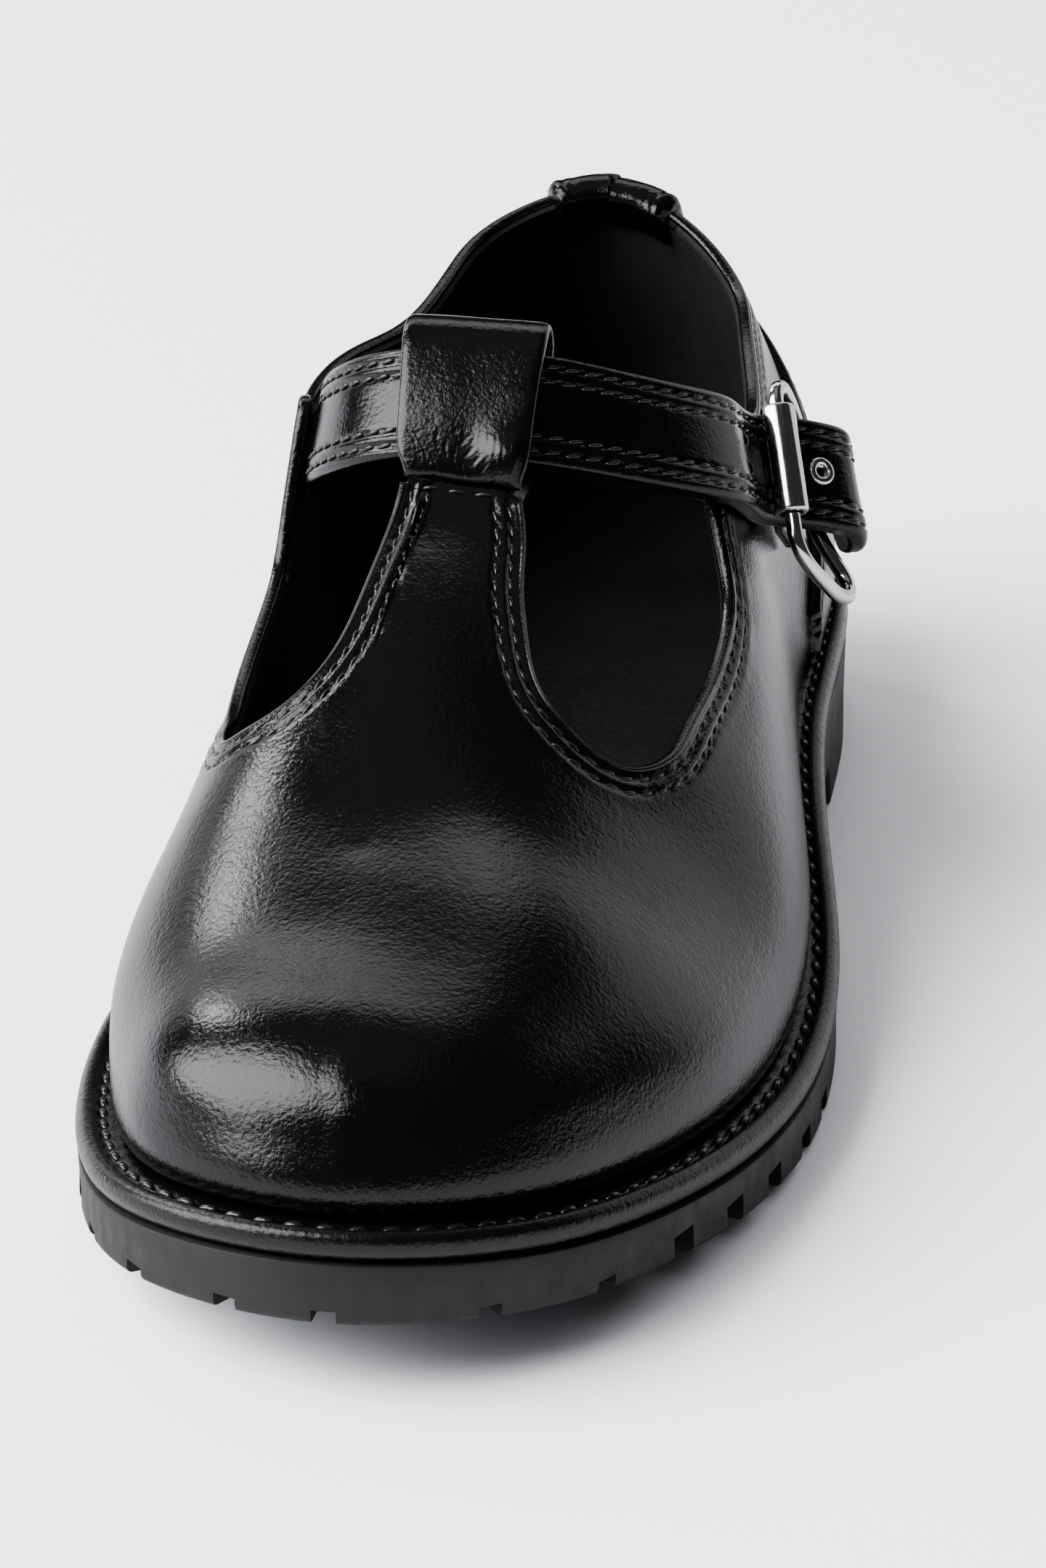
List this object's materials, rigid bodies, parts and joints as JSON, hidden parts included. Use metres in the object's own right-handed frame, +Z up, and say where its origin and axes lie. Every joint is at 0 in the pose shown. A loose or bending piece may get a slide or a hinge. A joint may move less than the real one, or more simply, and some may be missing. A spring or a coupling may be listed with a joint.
{
  "type": "t-strap shoe",
  "caption": "Child's left T-strap shoe: welted black leather upper open at the sides, ankle strap through a T-bar loop, roller buckle, lugged rubber sole with heel.",
  "frame": {"origin": "centre of the bounding box, on the plane that the heel and forefoot rest on", "axes": "+Z up from the floor, -Y towards the toe, +X towards the outer (lateral) side of the foot"},
  "size_m": [0.0746, 0.1858, 0.0735],
  "materials": {
    "polished_leather": "gloss",
    "welt_leather": "satin",
    "footbed": "matte",
    "sole_rubber": "matte",
    "silver_metal": "polished"
  },
  "bodies": {
    "root": {"outsole": "sole_rubber", "welt": "welt_leather", "insole": "footbed", "upper": "polished_leather", "heel_counter": "polished_leather", "heel_binding": "polished_leather", "t_bar_loop": "polished_leather", "ankle_strap": "polished_leather", "buckle_chape": "polished_leather", "buckle_frame": "silver_metal", "buckle_roller": "silver_metal", "strap_eyelet": "silver_metal"}
  },
  "joints": []
}
